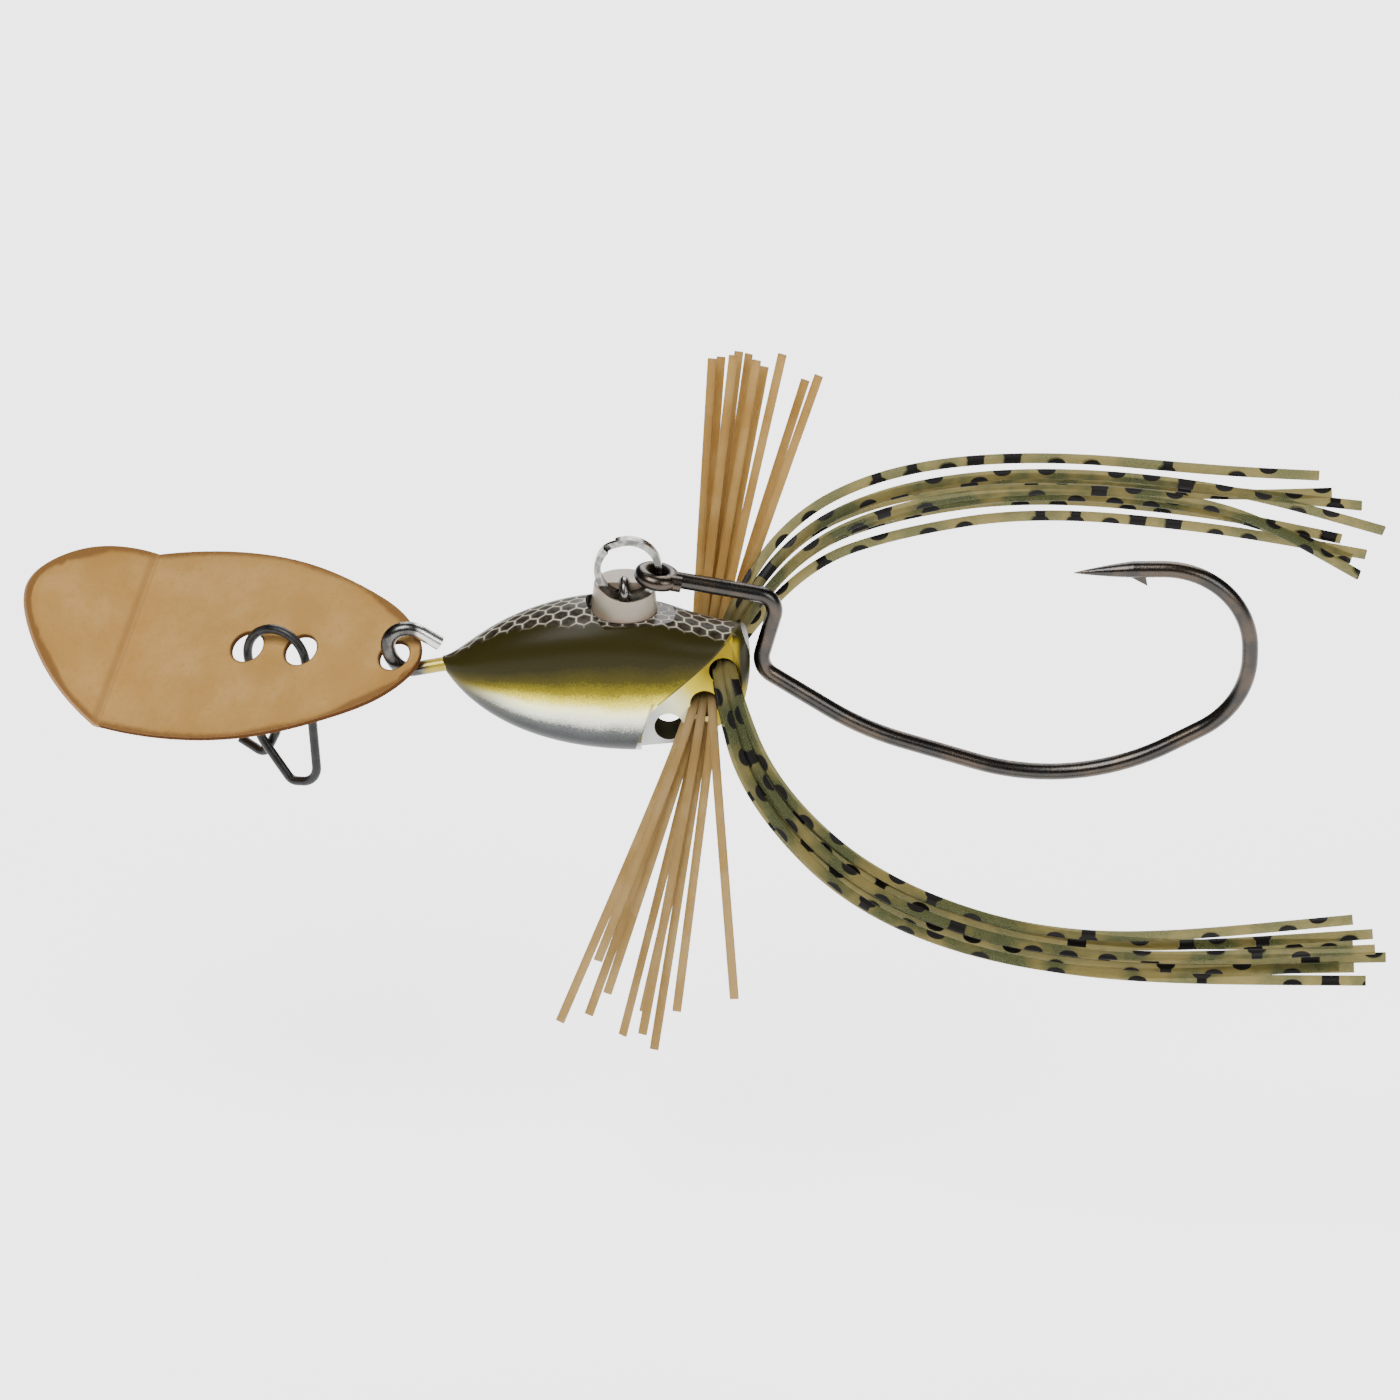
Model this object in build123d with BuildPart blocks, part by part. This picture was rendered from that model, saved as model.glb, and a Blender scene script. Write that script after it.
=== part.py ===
from build123d import *
import math
import os

# Bladed swim jig, a fishing lure. Millimetres, +Z is the lure's back.
# X runs along the lure from the blade (-X) to the hook (+X), and Y = 0 is its mid-plane.
# The origin is the centre of the empty rear cross hole in the head's web.

os.makedirs("parts", exist_ok=True)

# ---- head casting
# x, half width, keel height, shoulder height, ridge height
HEAD_STATIONS = [
    (-20.3, 0.45, 5.2, 5.75, 6.2),
    (-17.2, 2.25, 1.5, 5.95, 8.0),
    (-13.5, 3.45, -0.85, 6.8, 10.15),
    (-9.0, 4.2, -2.35, 7.6, 11.6),
    (-4.0, 4.3, -3.0, 7.8, 11.9),
    (1.0, 3.8, -2.9, 7.35, 10.55),
    (5.0, 2.85, -2.3, 6.85, 9.5),
    (8.2, 1.9, -1.5, 6.5, 9.1),
]
TAIL_ROUND_X = -0.5             # centre and half axes of the ellipse that rounds the tail in plan
TAIL_ROUND_LENGTH = 7.9
TAIL_ROUND_HALF = 4.6
TAIL_OUTLINE = [(4.0, 11.5), (6.7, 8.9), (7.3, 6.3), (6.2, 1.2)]
WEB_HALF = 1.8                  # half thickness of the web between the two pockets
WEB_LOWER_EDGE = [(6.2, 1.2), (2.9, -1.0), (0.8, -1.6), (-2.45, -1.9)]
# edges of the pocket scooped out of each side
POCKET_FRONT = [(-2.6, -2.9), (-2.4, -0.4), (-1.7, 2.2), (-0.8, 3.2)]
POCKET_REAR = [(5.4, 8.75), (6.45, 5.6), (5.7, -0.5)]
REAR_HOLE = (0.0, 0.0)          # x and z of the three cross holes
TAN_HOLE = (3.2, 2.3)
OLIVE_HOLE = (4.9, 5.6)
CROSS_HOLE_RADIUS = 1.3
BEYOND = 30                     # reach of the cutting shapes, well past the head

# ---- stopper, hook hanger and split ring
SEAT_X = -3.4
SEAT_RADIUS = 4.05
SEAT_Z = 10.5
STOPPER_RADIUS = 3.0            # at its foot; its side leans in towards the top
STOPPER_TAPER = 6               # degrees
STOPPER_HEIGHT = 2.8
STOPPER_CENTRE = (-4.0, 0.75)
STOPPER_RIM = 0.15              # rounding of both rims
STOPPER_SLOT_WIDTH = 0.95       # slot for the hanger's two legs
HANGER_WIRE = 0.85
HANGER_X = -4.0
HANGER_HALF_SPAN = 1.0
HANGER_BEND = 0.98
HANGER_TOP_Z = 13.72
HANGER_FOOT_Z = 4.5
RING_CENTRE_X = -3.65
RING_CENTRE_Z = 15.0
RING_RADIUS = 2.75              # at the middle of the flat wire
RING_WIDTH = 0.6                # radial size of the flat wire
RING_COIL = 0.42                # thickness of one coil
RING_GAP = 0.04                 # between the two coils
RING_CLEARANCE = 0.08           # round the ring in the stopper's channel
RING_CHANNEL_HALF = 0.6         # half width of that channel
RING_CHANNEL_RISE = 0.5         # slope of the channel's floor towards the near rim
RING_STEP_ANGLE = 24            # arc over which one coil steps over to the other
RING_STEP_START = 112

# ---- hook
HOOK_WIRE = 1.5
HOOK_EYE_WIRE = 1.45
HOOK_EYE_RADIUS = 1.4
HOOK_EYE_ON_RING = -16.9        # where the ring carries the hook's eye, degrees from +X
EYE_END_ASIDE = 0.85            # the eye's wire end: beside the shank, from the eye's centre
EYE_END_FROM = 0.8
EYE_END_LENGTH = 1.35
SHANK_FROM = 1.5                # start of the shank, from the eye's centre
SHANK_SLOPE = -11.0             # fall of the shank behind the eye, degrees
# corners of the hook's centre line in x and z, and the bend radius at each
HOOK_CORNERS = [
    (9.9, 12.1, 1.7),
    (8.02, 5.2, 2.1),
    (17.5, -1.13, 26.0),
    (36.65, -7.35, 22.0),
    (52.2, 1.27, 8.4),
    (52.2, 14.95, 7.9),
]
POINT_START = (41.6, 14.9)
POINT_TIP = (36.3, 14.55)
NEEDLE_MIDDLE_RADIUS = 0.465
NEEDLE_TIP_RADIUS = 0.04
BARB = [(40.9, 14.5), (42.9, 13.35), (42.7, 14.5)]
BARB_THICKNESS = 0.5

# ---- front eye wire
FRONT_WIRE = 1.3
# corners in x and z from the cut end, round the eye, to the anchor inside the head
FRONT_EYE = [
    (-20.55, 7.45, None),
    (-23.1, 9.1, 2.0),
    (-25.4, 8.5, 1.6),
    (-25.1, 6.2, 2.9),
    (-23.9, 4.7, 1.6),
    (-20.0, 5.45, 3.0),
    (-12.0, 5.7, None),
]

# ---- blade
BLADE_THICKNESS = 0.5
BLADE_EDGE = 0.1                # chamfer round the holes
BLADE_PIVOT = Vector(-24.6, 0.0, 6.1)
BLADE_AXIS = Vector(-0.887, 0.433, -0.159)
BLADE_NORMAL = Vector(-0.360, -0.435, 0.825)
BLADE_EYE_RADIUS = 1.45
SNAP_HOLES = (9.6, 15.1)        # distance of the snap holes from the eye hole
SNAP_HOLE_RADIUS = 1.55
BLADE_FOLD = 27.3
BLADE_FOLD_HALF = 9.2
FOLD_ANGLE = 53
FOLD_INNER_RADIUS = 0.35
# half outlines from the fold to the blade's two ends: along the blade and across it
BLADE_HALF_OUTLINE = [
    (BLADE_FOLD, BLADE_FOLD_HALF), (20.0, 9.95), (12.0, 9.2), (4.4, 6.6), (-1.15, 2.95), (-2.55, 0),
]
FLAP_HALF_OUTLINE = [(0, BLADE_FOLD_HALF), (4.9, 7.3), (8.4, 4.4), (10.6, 0)]

# ---- line tie snap, in its own plane: along the blade, up, and sideways
SNAP_WIRE = 0.85
SNAP_ROUTE = [
    (5.7, -9.5, 0.95, None),
    (3.4, -10.95, 0.95, 0.8),
    (1.75, -8.5, 0.95, 0.8),
    (2.75, -4.0, 0.0, 3.0),
    (3.05, 2.05, 0.0, 2.95),
    (-3.1, 2.05, 0.0, 2.95),
    (-2.9, -4.0, 0.0, 8.0),
    (-2.2, -13.0, 0.0, 1.7),
    (0.5, -13.0, 0.0, 0.9),
    (2.9, -8.9, 0.0, 2.0),
    (3.3, -6.2, 0.0, None),
]

# ---- skirt strands
TAN_WIRE = 0.5
TAN_LATTICE = [(x, 0.6) for x in (-0.62, 0.0, 0.62)]
TAN_LATTICE += [(x, 0.0) for x in (-0.93, -0.31, 0.31, 0.93)]
TAN_LATTICE += [(x, -0.6) for x in (-0.62, 0.0, 0.62)]
# centre line of each half bundle: x, y, z and how far its strands have spread apart there
TAN_FAR_ROUTE = [(3.2, 0, 2.3, 1), (3.2, 5.6, 2.3, 1), (7.9, 13.6, 29.0, 1)]
TAN_NEAR_ROUTE = [(3.2, 0, 2.3, 1), (3.2, -3.4, 2.3, 1), (-2.5, -7.0, -26.5, 1)]
TAN_FAR_TIPS = [
    (5.8, 12.2, 30.3), (7.9, 12.2, 29.8), (10.2, 12.2, 30.4),
    (3.9, 13.6, 29.3), (6.3, 13.6, 30.0), (8.6, 13.6, 28.5), (13.5, 13.6, 27.6),
    (4.7, 15.0, 28.8), (7.2, 15.0, 29.1), (12.3, 15.0, 26.5),
]
TAN_NEAR_TIPS = [
    (-6.4, -8.4, -20.3), (-2.4, -8.4, -27.8), (5.9, -8.4, -24.2),
    (-9.9, -7.0, -27.4), (-5.6, -7.0, -24.5), (-1.35, -7.0, -30.1), (0.7, -7.0, -26.2),
    (-7.25, -5.6, -27.3), (-4.2, -5.6, -29.4), (-2.3, -5.6, -27.0),
]

OLIVE_WIRE = 0.56
OLIVE_LATTICE = [(x, 0.7) for x in (-0.62, 0.0, 0.62)]
OLIVE_LATTICE += [(x, 0.0) for x in (-0.35, 0.35)]
OLIVE_LATTICE += [(x, -0.7) for x in (-0.62, 0.0, 0.62)]
OLIVE_FAR_ROUTE = [
    (4.9, 0, 5.6, 1), (4.9, 3.8, 5.6, 1), (11.3, 9.2, 12.9, 2.4), (20.0, 12.8, 15.4, 3.2),
    (33.0, 16.8, 15.3, 2.8), (50.0, 21.5, 11.3, 2.8), (62.5, 24.5, 6.5, 3),
]
OLIVE_NEAR_ROUTE = [
    (4.9, 0, 5.6, 1), (4.9, -4.0, 5.6, 1), (8.2, -6.4, -4.6, 1.8), (19.0, -8.8, -14.6, 2.6),
    (37.0, -11.2, -19.0, 2.4), (62.6, -12.0, -17.4, 2.4),
]
OLIVE_FAR_TIPS = [
    (59.1, 22.9, 13.0), (65.1, 23.3, 7.2), (62.9, 23.3, 2.7),
    (63.1, 24.6, 9.1), (62.2, 24.6, 3.7),
    (60.4, 25.9, 9.8), (61.3, 25.9, 5.1), (63.6, 25.9, 3.5),
]
OLIVE_NEAR_TIPS = [
    (62.6, -13.4, -19.7), (63.5, -13.4, -16.5), (61.3, -13.4, -13.5),
    (61.7, -12.0, -19.1), (63.2, -12.0, -15.7),
    (60.4, -10.6, -19.7), (64.5, -10.6, -18.8), (61.5, -10.6, -17.4),
]
SOFT_BEND_SHARE = 0.45          # share of the shorter run beside a corner that its bend takes up
SKIRT_EXIT_RADIUS = 1.1         # bend where a strand turns out of its cross hole


def save(piece, name):
    """Label a finished piece and write it as one STEP file."""
    piece.part.label = name
    export_step(piece.part, f"parts/{name}.step")


def wire_section(path, diameter):
    """Plane at the start of a path, square to it, where the wire's round section is drawn."""
    return Plane(origin=path @ 0, z_dir=path % 0), diameter / 2


def turned(vector, old_run, new_run):
    """The vector after the smallest turn that takes one direction to the other."""
    hinge = Axis((0, 0, 0), old_run.cross(new_run))
    return vector.rotate(hinge, old_run.get_angle(new_run))


def mirrored(spot):
    """A spot of an outline on the other side of its long axis."""
    return spot[0], -spot[1]


def both_sides(half_outline):
    """A half outline that ends on the long axis, carried on round its other side."""
    return half_outline + [mirrored(spot) for spot in half_outline[-2::-1]]


def half_strand(route, tip, column, row):
    """Corners of half a strand from the middle of its cross hole to its tip.

    The strand keeps its own place (column, row) in the bundle: each corner is shifted in the
    plane that halves the bundle's turn, so the order of the strands never changes.
    """
    centres = [Vector(x, y, z) for x, y, z, _ in route]
    spreads = [spread for _, _, _, spread in route]
    place = Vector(column, 0, row)
    points = []
    for before, here, after, spread in zip(centres, centres[1:], centres[2:], spreads[1:]):
        run_in = (here - before).normalized()
        run_out = (after - here).normalized()
        halving = (run_in + run_out).normalized()
        shift = (place - run_in * (place.dot(halving) / run_in.dot(halving))) * spread
        points.append(here + shift)
        place = turned(place, run_in, run_out)
    return points + [Vector(*tip)]


def soft_radii(points):
    """A bend radius for each inner corner, as large as its two runs allow."""
    radii = []
    for before, here, after in zip(points, points[1:], points[2:]):
        run_in = here - before
        run_out = after - here
        half_turn = math.radians(run_in.get_angle(run_out) / 2)
        radii.append(SOFT_BEND_SHARE * min(run_in.length, run_out.length) / math.tan(half_turn))
    return radii


def make_strands(name, wire, lattice, far_route, far_tips, near_route, near_tips):
    """One soft strand per place in the lattice, from its far tip through the hole to its near tip."""
    exit_corner = len(far_route) - 3
    for index, (column, row) in enumerate(lattice):
        far = half_strand(far_route, far_tips[index], column, row)
        near = half_strand(near_route, near_tips[index], column, row)
        points = far[::-1] + near
        radii = soft_radii(points)
        radii[exit_corner] = SKIRT_EXIT_RADIUS
        radii[exit_corner + 1] = SKIRT_EXIT_RADIUS
        with BuildPart() as strand:
            with BuildLine() as route:
                FilletPolyline(*points, radius=radii)
            start, radius = wire_section(route.line, wire)
            with BuildSketch(start):
                Circle(radius)
            sweep()
        save(strand, f"{name}_{index + 1:02d}")
        print(f"{name}_{index + 1:02d}", "length", round(route.wire().length, 1), "mm")


# ================= front eye wire =================
with BuildPart() as front_eye_wire:
    with BuildLine() as eye_path:
        FilletPolyline(
            *[(x, 0, z) for x, z, _ in FRONT_EYE],
            radius=[bend for _, _, bend in FRONT_EYE[1:-1]],
        )
    eye_start, eye_radius = wire_section(eye_path.line, FRONT_WIRE)
    with BuildSketch(eye_start):
        Circle(eye_radius)
    sweep()
save(front_eye_wire, "front_eye_wire")

# ================= hook hanger =================
with BuildPart() as hook_hanger:
    with BuildLine() as hanger_path:
        FilletPolyline(
            (HANGER_X, -HANGER_HALF_SPAN, HANGER_FOOT_Z),
            (HANGER_X, -HANGER_HALF_SPAN, HANGER_TOP_Z),
            (HANGER_X, HANGER_HALF_SPAN, HANGER_TOP_Z),
            (HANGER_X, HANGER_HALF_SPAN, HANGER_FOOT_Z),
            radius=HANGER_BEND,
        )
    hanger_start, hanger_radius = wire_section(hanger_path.line, HANGER_WIRE)
    with BuildSketch(hanger_start):
        Circle(hanger_radius)
    sweep()
save(hook_hanger, "hook_hanger")

# ================= head =================
with BuildPart() as head:
    # outer form: one egg-shaped section per station
    for x, half_width, keel, shoulder, ridge in HEAD_STATIONS:
        with BuildSketch(Plane.YZ.offset(x)):
            with BuildLine():
                EllipticalCenterArc((0, shoulder), half_width, ridge - shoulder, 0, arc_size=180)
                EllipticalCenterArc((0, shoulder), half_width, shoulder - keel, 180, arc_size=180)
            make_face()
    loft()
    # side outline: the web's lower edge and the rounded tail
    with BuildSketch(Plane.XZ):
        with BuildLine():
            Polyline(
                *WEB_LOWER_EDGE, (WEB_LOWER_EDGE[-1][0], -BEYOND), (-BEYOND, -BEYOND),
                (-BEYOND, BEYOND), (TAIL_OUTLINE[0][0], BEYOND), TAIL_OUTLINE[0],
            )
            Spline(*TAIL_OUTLINE)
        make_face()
    extrude(amount=BEYOND, both=True, mode=Mode.INTERSECT)
    # plan outline: the tail is round seen from above
    with BuildSketch(Plane((TAIL_ROUND_X, 0, 0))):
        Ellipse(TAIL_ROUND_LENGTH, TAIL_ROUND_HALF)
        Rectangle(BEYOND, 2 * TAIL_ROUND_HALF, align=(Align.MAX, Align.CENTER))
    extrude(amount=BEYOND, both=True, mode=Mode.INTERSECT)
    # a pocket scooped out of each side leaves the web and the tail rim
    with BuildSketch(Plane.XZ.offset(WEB_HALF)):
        with BuildLine():
            Polyline((POCKET_FRONT[0][0], -BEYOND), *POCKET_FRONT, POCKET_REAR[0])
            Spline(*POCKET_REAR)
            Polyline(
                POCKET_REAR[-1], (POCKET_REAR[-1][0], -BEYOND), (POCKET_FRONT[0][0], -BEYOND),
            )
        make_face()
    pocket = extrude(amount=BEYOND, mode=Mode.SUBTRACT)
    mirror(pocket, about=Plane.XZ, mode=Mode.SUBTRACT)
    # three cross holes through the web
    with BuildSketch(Plane.XZ):
        with Locations(REAR_HOLE, TAN_HOLE, OLIVE_HOLE):
            Circle(CROSS_HOLE_RADIUS)
    extrude(amount=2 * WEB_HALF, both=True, mode=Mode.SUBTRACT)
    # round seat for the stopper
    with BuildSketch(Plane.XY.offset(SEAT_Z)):
        with Locations((SEAT_X, 0)):
            Circle(SEAT_RADIUS)
    extrude(amount=BEYOND, mode=Mode.SUBTRACT)
    # the two wires are cast in
    add(front_eye_wire.part, mode=Mode.SUBTRACT)
    add(hook_hanger.part, mode=Mode.SUBTRACT)
save(head, "head")

# ================= split ring =================
ring_plane = Plane(origin=(RING_CENTRE_X, 0, RING_CENTRE_Z), x_dir=(1, 0, 0), z_dir=(0, -1, 0))
coil_offset = (RING_COIL + RING_GAP) / 2
ring_inner = RING_RADIUS - RING_WIDTH / 2
ring_outer = RING_RADIUS + RING_WIDTH / 2
step_end = RING_STEP_START + RING_STEP_ANGLE
with BuildPart() as split_ring:
    # two flat coils, each open over the step, on the ring's two sides
    for side in (-1, 1):
        with BuildSketch(ring_plane.offset(side * coil_offset - RING_COIL / 2)):
            with BuildLine():
                CenterArc((0, 0), ring_outer, step_end, 360 - RING_STEP_ANGLE)
                CenterArc((0, 0), ring_inner, step_end, 360 - RING_STEP_ANGLE)
                for angle in (step_end, RING_STEP_START):
                    Line(
                        PolarLine((0, 0), ring_inner, angle, mode=Mode.PRIVATE) @ 1,
                        PolarLine((0, 0), ring_outer, angle, mode=Mode.PRIVATE) @ 1,
                    )
            make_face()
        extrude(amount=RING_COIL)
    # the step that carries the wire from one coil to the other
    step_sections = []
    for part_of_step in (0.0, 0.5, 1.0):
        turn = math.radians(RING_STEP_START + part_of_step * RING_STEP_ANGLE)
        outward = Vector(math.cos(turn), 0, math.sin(turn))
        section_centre = (
            Vector(RING_CENTRE_X, 0, RING_CENTRE_Z)
            + outward * RING_RADIUS
            + Vector(0, coil_offset * (2 * part_of_step - 1), 0)
        )
        section_normal = Vector(-math.sin(turn), 0, math.cos(turn))
        with BuildSketch(Plane(origin=section_centre, x_dir=outward, z_dir=section_normal)):
            Rectangle(RING_WIDTH, RING_COIL)
    loft()
save(split_ring, "split_ring")

# ================= stopper =================
with BuildPart() as stopper:
    with BuildSketch(Plane.XY.offset(SEAT_Z)):
        with Locations(STOPPER_CENTRE):
            Circle(STOPPER_RADIUS)
    extrude(amount=STOPPER_HEIGHT, taper=STOPPER_TAPER)
    fillet(stopper.edges().filter_by(GeomType.CIRCLE), STOPPER_RIM)
    # slot that clears both legs of the hanger
    with BuildSketch(Plane.XY.offset(SEAT_Z)):
        with Locations((HANGER_X, 0)):
            SlotCenterToCenter(2 * HANGER_HALF_SPAN, STOPPER_SLOT_WIDTH, rotation=90)
    extrude(amount=STOPPER_HEIGHT, mode=Mode.SUBTRACT)
    # channel pressed by the split ring: across the top, and sloping up to the near rim
    with BuildSketch(ring_plane):
        Circle(ring_outer + RING_CLEARANCE)
    extrude(amount=RING_CHANNEL_HALF, both=True, mode=Mode.SUBTRACT)
    with BuildSketch(ring_plane.offset(RING_CHANNEL_HALF)):
        Circle(ring_outer + RING_CLEARANCE)
    extrude(amount=STOPPER_RADIUS, dir=(0, -1, RING_CHANNEL_RISE), mode=Mode.SUBTRACT)
save(stopper, "stopper")

# ================= hook =================
eye_turn = math.radians(HOOK_EYE_ON_RING)
eye_x = RING_CENTRE_X + RING_RADIUS * math.cos(eye_turn)
eye_z = RING_CENTRE_Z + RING_RADIUS * math.sin(eye_turn)
slope = math.radians(SHANK_SLOPE)
shank_dir = Vector(math.cos(slope), 0, math.sin(slope))
eye_normal = shank_dir.cross(Vector(0, -1, 0))
shank_start = Vector(eye_x, 0, eye_z) + shank_dir * SHANK_FROM
with BuildPart() as hook:
    with BuildLine() as hook_path:
        FilletPolyline(
            shank_start,
            *[(x, 0, z) for x, z, _ in HOOK_CORNERS],
            (POINT_START[0], 0, POINT_START[1]),
            radius=[bend for _, _, bend in HOOK_CORNERS],
        )
    shank_section, shank_radius = wire_section(hook_path.line, HOOK_WIRE)
    with BuildSketch(shank_section):
        Circle(shank_radius)
    sweep()
    # needle point
    with BuildSketch(Plane(origin=hook_path.line @ 1, z_dir=hook_path.line % 1)):
        Circle(shank_radius)
    needle_dir = Vector(POINT_TIP[0] - POINT_START[0], 0, POINT_TIP[1] - POINT_START[1])
    needle_middle = Vector(POINT_START[0], 0, POINT_START[1]) + needle_dir * 0.5
    with BuildSketch(Plane(origin=needle_middle, z_dir=needle_dir)):
        Circle(NEEDLE_MIDDLE_RADIUS)
    with BuildSketch(Plane(origin=(POINT_TIP[0], 0, POINT_TIP[1]), z_dir=needle_dir)):
        Circle(NEEDLE_TIP_RADIUS)
    loft()
    # barb
    with BuildSketch(Plane.XZ):
        Polygon(*BARB, align=None)
    extrude(amount=BARB_THICKNESS / 2, both=True)
    # cross eye that the ring carries
    with Locations(Plane(origin=(eye_x, 0, eye_z), x_dir=shank_dir, z_dir=eye_normal)):
        Torus(HOOK_EYE_RADIUS, HOOK_EYE_WIRE / 2)
    # the eye's wire end, laid beside the start of the shank
    end_start = Vector(eye_x, -EYE_END_ASIDE, eye_z) + shank_dir * EYE_END_FROM
    with BuildSketch(Plane(origin=end_start, z_dir=shank_dir)):
        Circle(HOOK_EYE_WIRE / 2)
    extrude(amount=EYE_END_LENGTH)
save(hook, "hook")

# ================= blade =================
blade_plane = Plane(origin=BLADE_PIVOT, x_dir=BLADE_AXIS, z_dir=BLADE_NORMAL)
fold_turn = math.radians(FOLD_ANGLE)
fold_radius = FOLD_INNER_RADIUS + BLADE_THICKNESS / 2
flap_origin = blade_plane.from_local_coords(
    (BLADE_FOLD + fold_radius * math.sin(fold_turn), 0, fold_radius * (1 - math.cos(fold_turn)))
)
flap_dir = blade_plane.x_dir * math.cos(fold_turn) + blade_plane.z_dir * math.sin(fold_turn)
flap_plane = Plane(origin=flap_origin, x_dir=flap_dir, z_dir=flap_dir.cross(blade_plane.y_dir))
with BuildPart() as blade:
    with BuildSketch(blade_plane.offset(-BLADE_THICKNESS / 2)):
        with BuildLine():
            Spline(*both_sides(BLADE_HALF_OUTLINE))
            Line(BLADE_HALF_OUTLINE[0], mirrored(BLADE_HALF_OUTLINE[0]))
        make_face()
        Circle(BLADE_EYE_RADIUS, mode=Mode.SUBTRACT)
        with Locations([(distance, 0) for distance in SNAP_HOLES]):
            Circle(SNAP_HOLE_RADIUS, mode=Mode.SUBTRACT)
    extrude(amount=BLADE_THICKNESS)
    # the rounded fold
    with BuildSketch(Plane(
        origin=blade_plane.from_local_coords((BLADE_FOLD, 0, 0)),
        x_dir=blade_plane.y_dir, z_dir=blade_plane.x_dir,
    )):
        Rectangle(2 * BLADE_FOLD_HALF, BLADE_THICKNESS)
    fold_centre = blade_plane.from_local_coords((BLADE_FOLD, 0, fold_radius))
    revolve(axis=Axis(fold_centre, blade_plane.y_dir * -1), revolution_arc=FOLD_ANGLE)
    # the front part, bent up
    with BuildSketch(flap_plane.offset(-BLADE_THICKNESS / 2)):
        with BuildLine():
            Spline(*both_sides(FLAP_HALF_OUTLINE))
            Line(FLAP_HALF_OUTLINE[0], mirrored(FLAP_HALF_OUTLINE[0]))
        make_face()
    extrude(amount=BLADE_THICKNESS)
    # broken edges round the holes
    hole_edges = blade.edges().filter_by(GeomType.CIRCLE).filter_by(lambda edge: edge.is_closed)
    chamfer(hole_edges, BLADE_EDGE)
save(blade, "blade")

# ================= line tie snap =================
snap_normal = BLADE_AXIS.cross(Vector(0, 0, 1)).normalized()
snap_plane = Plane(
    origin=blade_plane.from_local_coords((sum(SNAP_HOLES) / 2, 0, 0)),
    x_dir=blade_plane.x_dir, z_dir=snap_normal,
)
with BuildPart() as line_tie_snap:
    with BuildLine() as snap_path:
        FilletPolyline(
            *[snap_plane.from_local_coords(spot[:3]) for spot in SNAP_ROUTE],
            radius=[spot[3] for spot in SNAP_ROUTE[1:-1]],
        )
    snap_start, snap_radius = wire_section(snap_path.line, SNAP_WIRE)
    with BuildSketch(snap_start):
        Circle(snap_radius)
    sweep()
save(line_tie_snap, "line_tie_snap")

# ================= skirt =================
make_strands("tan_strand", TAN_WIRE, TAN_LATTICE, TAN_FAR_ROUTE, TAN_FAR_TIPS,
             TAN_NEAR_ROUTE, TAN_NEAR_TIPS)
make_strands("olive_strand", OLIVE_WIRE, OLIVE_LATTICE, OLIVE_FAR_ROUTE, OLIVE_FAR_TIPS,
             OLIVE_NEAR_ROUTE, OLIVE_NEAR_TIPS)
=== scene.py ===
import math
import random

import bpy
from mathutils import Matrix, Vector


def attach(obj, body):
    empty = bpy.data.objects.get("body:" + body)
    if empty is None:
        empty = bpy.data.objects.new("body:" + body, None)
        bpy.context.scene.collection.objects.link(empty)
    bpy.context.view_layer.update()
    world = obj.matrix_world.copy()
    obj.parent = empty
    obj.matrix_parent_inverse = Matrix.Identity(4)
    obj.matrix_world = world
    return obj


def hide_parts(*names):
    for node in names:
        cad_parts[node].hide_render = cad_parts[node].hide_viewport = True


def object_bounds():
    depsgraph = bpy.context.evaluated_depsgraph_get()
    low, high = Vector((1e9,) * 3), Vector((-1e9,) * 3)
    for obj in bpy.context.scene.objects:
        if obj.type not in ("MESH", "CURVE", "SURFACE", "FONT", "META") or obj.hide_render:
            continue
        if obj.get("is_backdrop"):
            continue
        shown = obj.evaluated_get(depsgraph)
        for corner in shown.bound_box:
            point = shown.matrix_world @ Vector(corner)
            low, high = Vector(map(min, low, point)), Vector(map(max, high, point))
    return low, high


# Bladed swim jig. Metres; +X runs from the blade to the hook, +Z is the lure's back, and the
# camera stands on the -Y side. Lengths written in millimetres are turned to metres by MM.

MM = 0.001

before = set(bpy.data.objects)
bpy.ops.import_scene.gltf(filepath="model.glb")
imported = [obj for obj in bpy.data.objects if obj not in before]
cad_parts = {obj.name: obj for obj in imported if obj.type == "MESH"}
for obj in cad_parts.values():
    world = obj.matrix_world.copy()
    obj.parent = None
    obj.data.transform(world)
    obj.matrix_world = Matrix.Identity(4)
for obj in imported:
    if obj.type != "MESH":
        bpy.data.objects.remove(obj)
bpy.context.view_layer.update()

# ---- camera and studio
VIEW_CENTRE = (2.8, 0.7, 1.41)      # point of the lure at the middle of the picture, mm
VIEW_ELEVATION = math.radians(27)
VIEW_WIDTH = 126                    # mm across the picture
CAMERA_LENS = 400                   # a long lens, almost without perspective
CAMERA_SENSOR = 36

# ---- skirt
SPOT_PITCH = 3.5                    # about one black spot in each such length of a strip, mm
SPOT_HALF_LENGTH = 0.85             # half rounds, mm along the strip
SPOT_REACH = 0.55                   # and as a part of its width
TAN_WIDTH = 0.8
TAN_THICKNESS = 0.34
OLIVE_WIDTH = 0.92
OLIVE_THICKNESS = 0.36
STRIP_STEP = 0.5                    # distance between the rings of corners along a strip, mm
CORNER_ROUNDS = 5                   # times that each corner of a route is cut
TWIST_HALF_WAVES = 2.2              # slow twist along each strip
PRINT_SHIFT = 300                   # the print starts at random within this length, mm
TAN_LATTICE = [(x, 0.6) for x in (-0.62, 0.0, 0.62)]
TAN_LATTICE += [(x, 0.0) for x in (-0.93, -0.31, 0.31, 0.93)]
TAN_LATTICE += [(x, -0.6) for x in (-0.62, 0.0, 0.62)]
OLIVE_LATTICE = [(x, 0.7) for x in (-0.62, 0.0, 0.62)]
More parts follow.
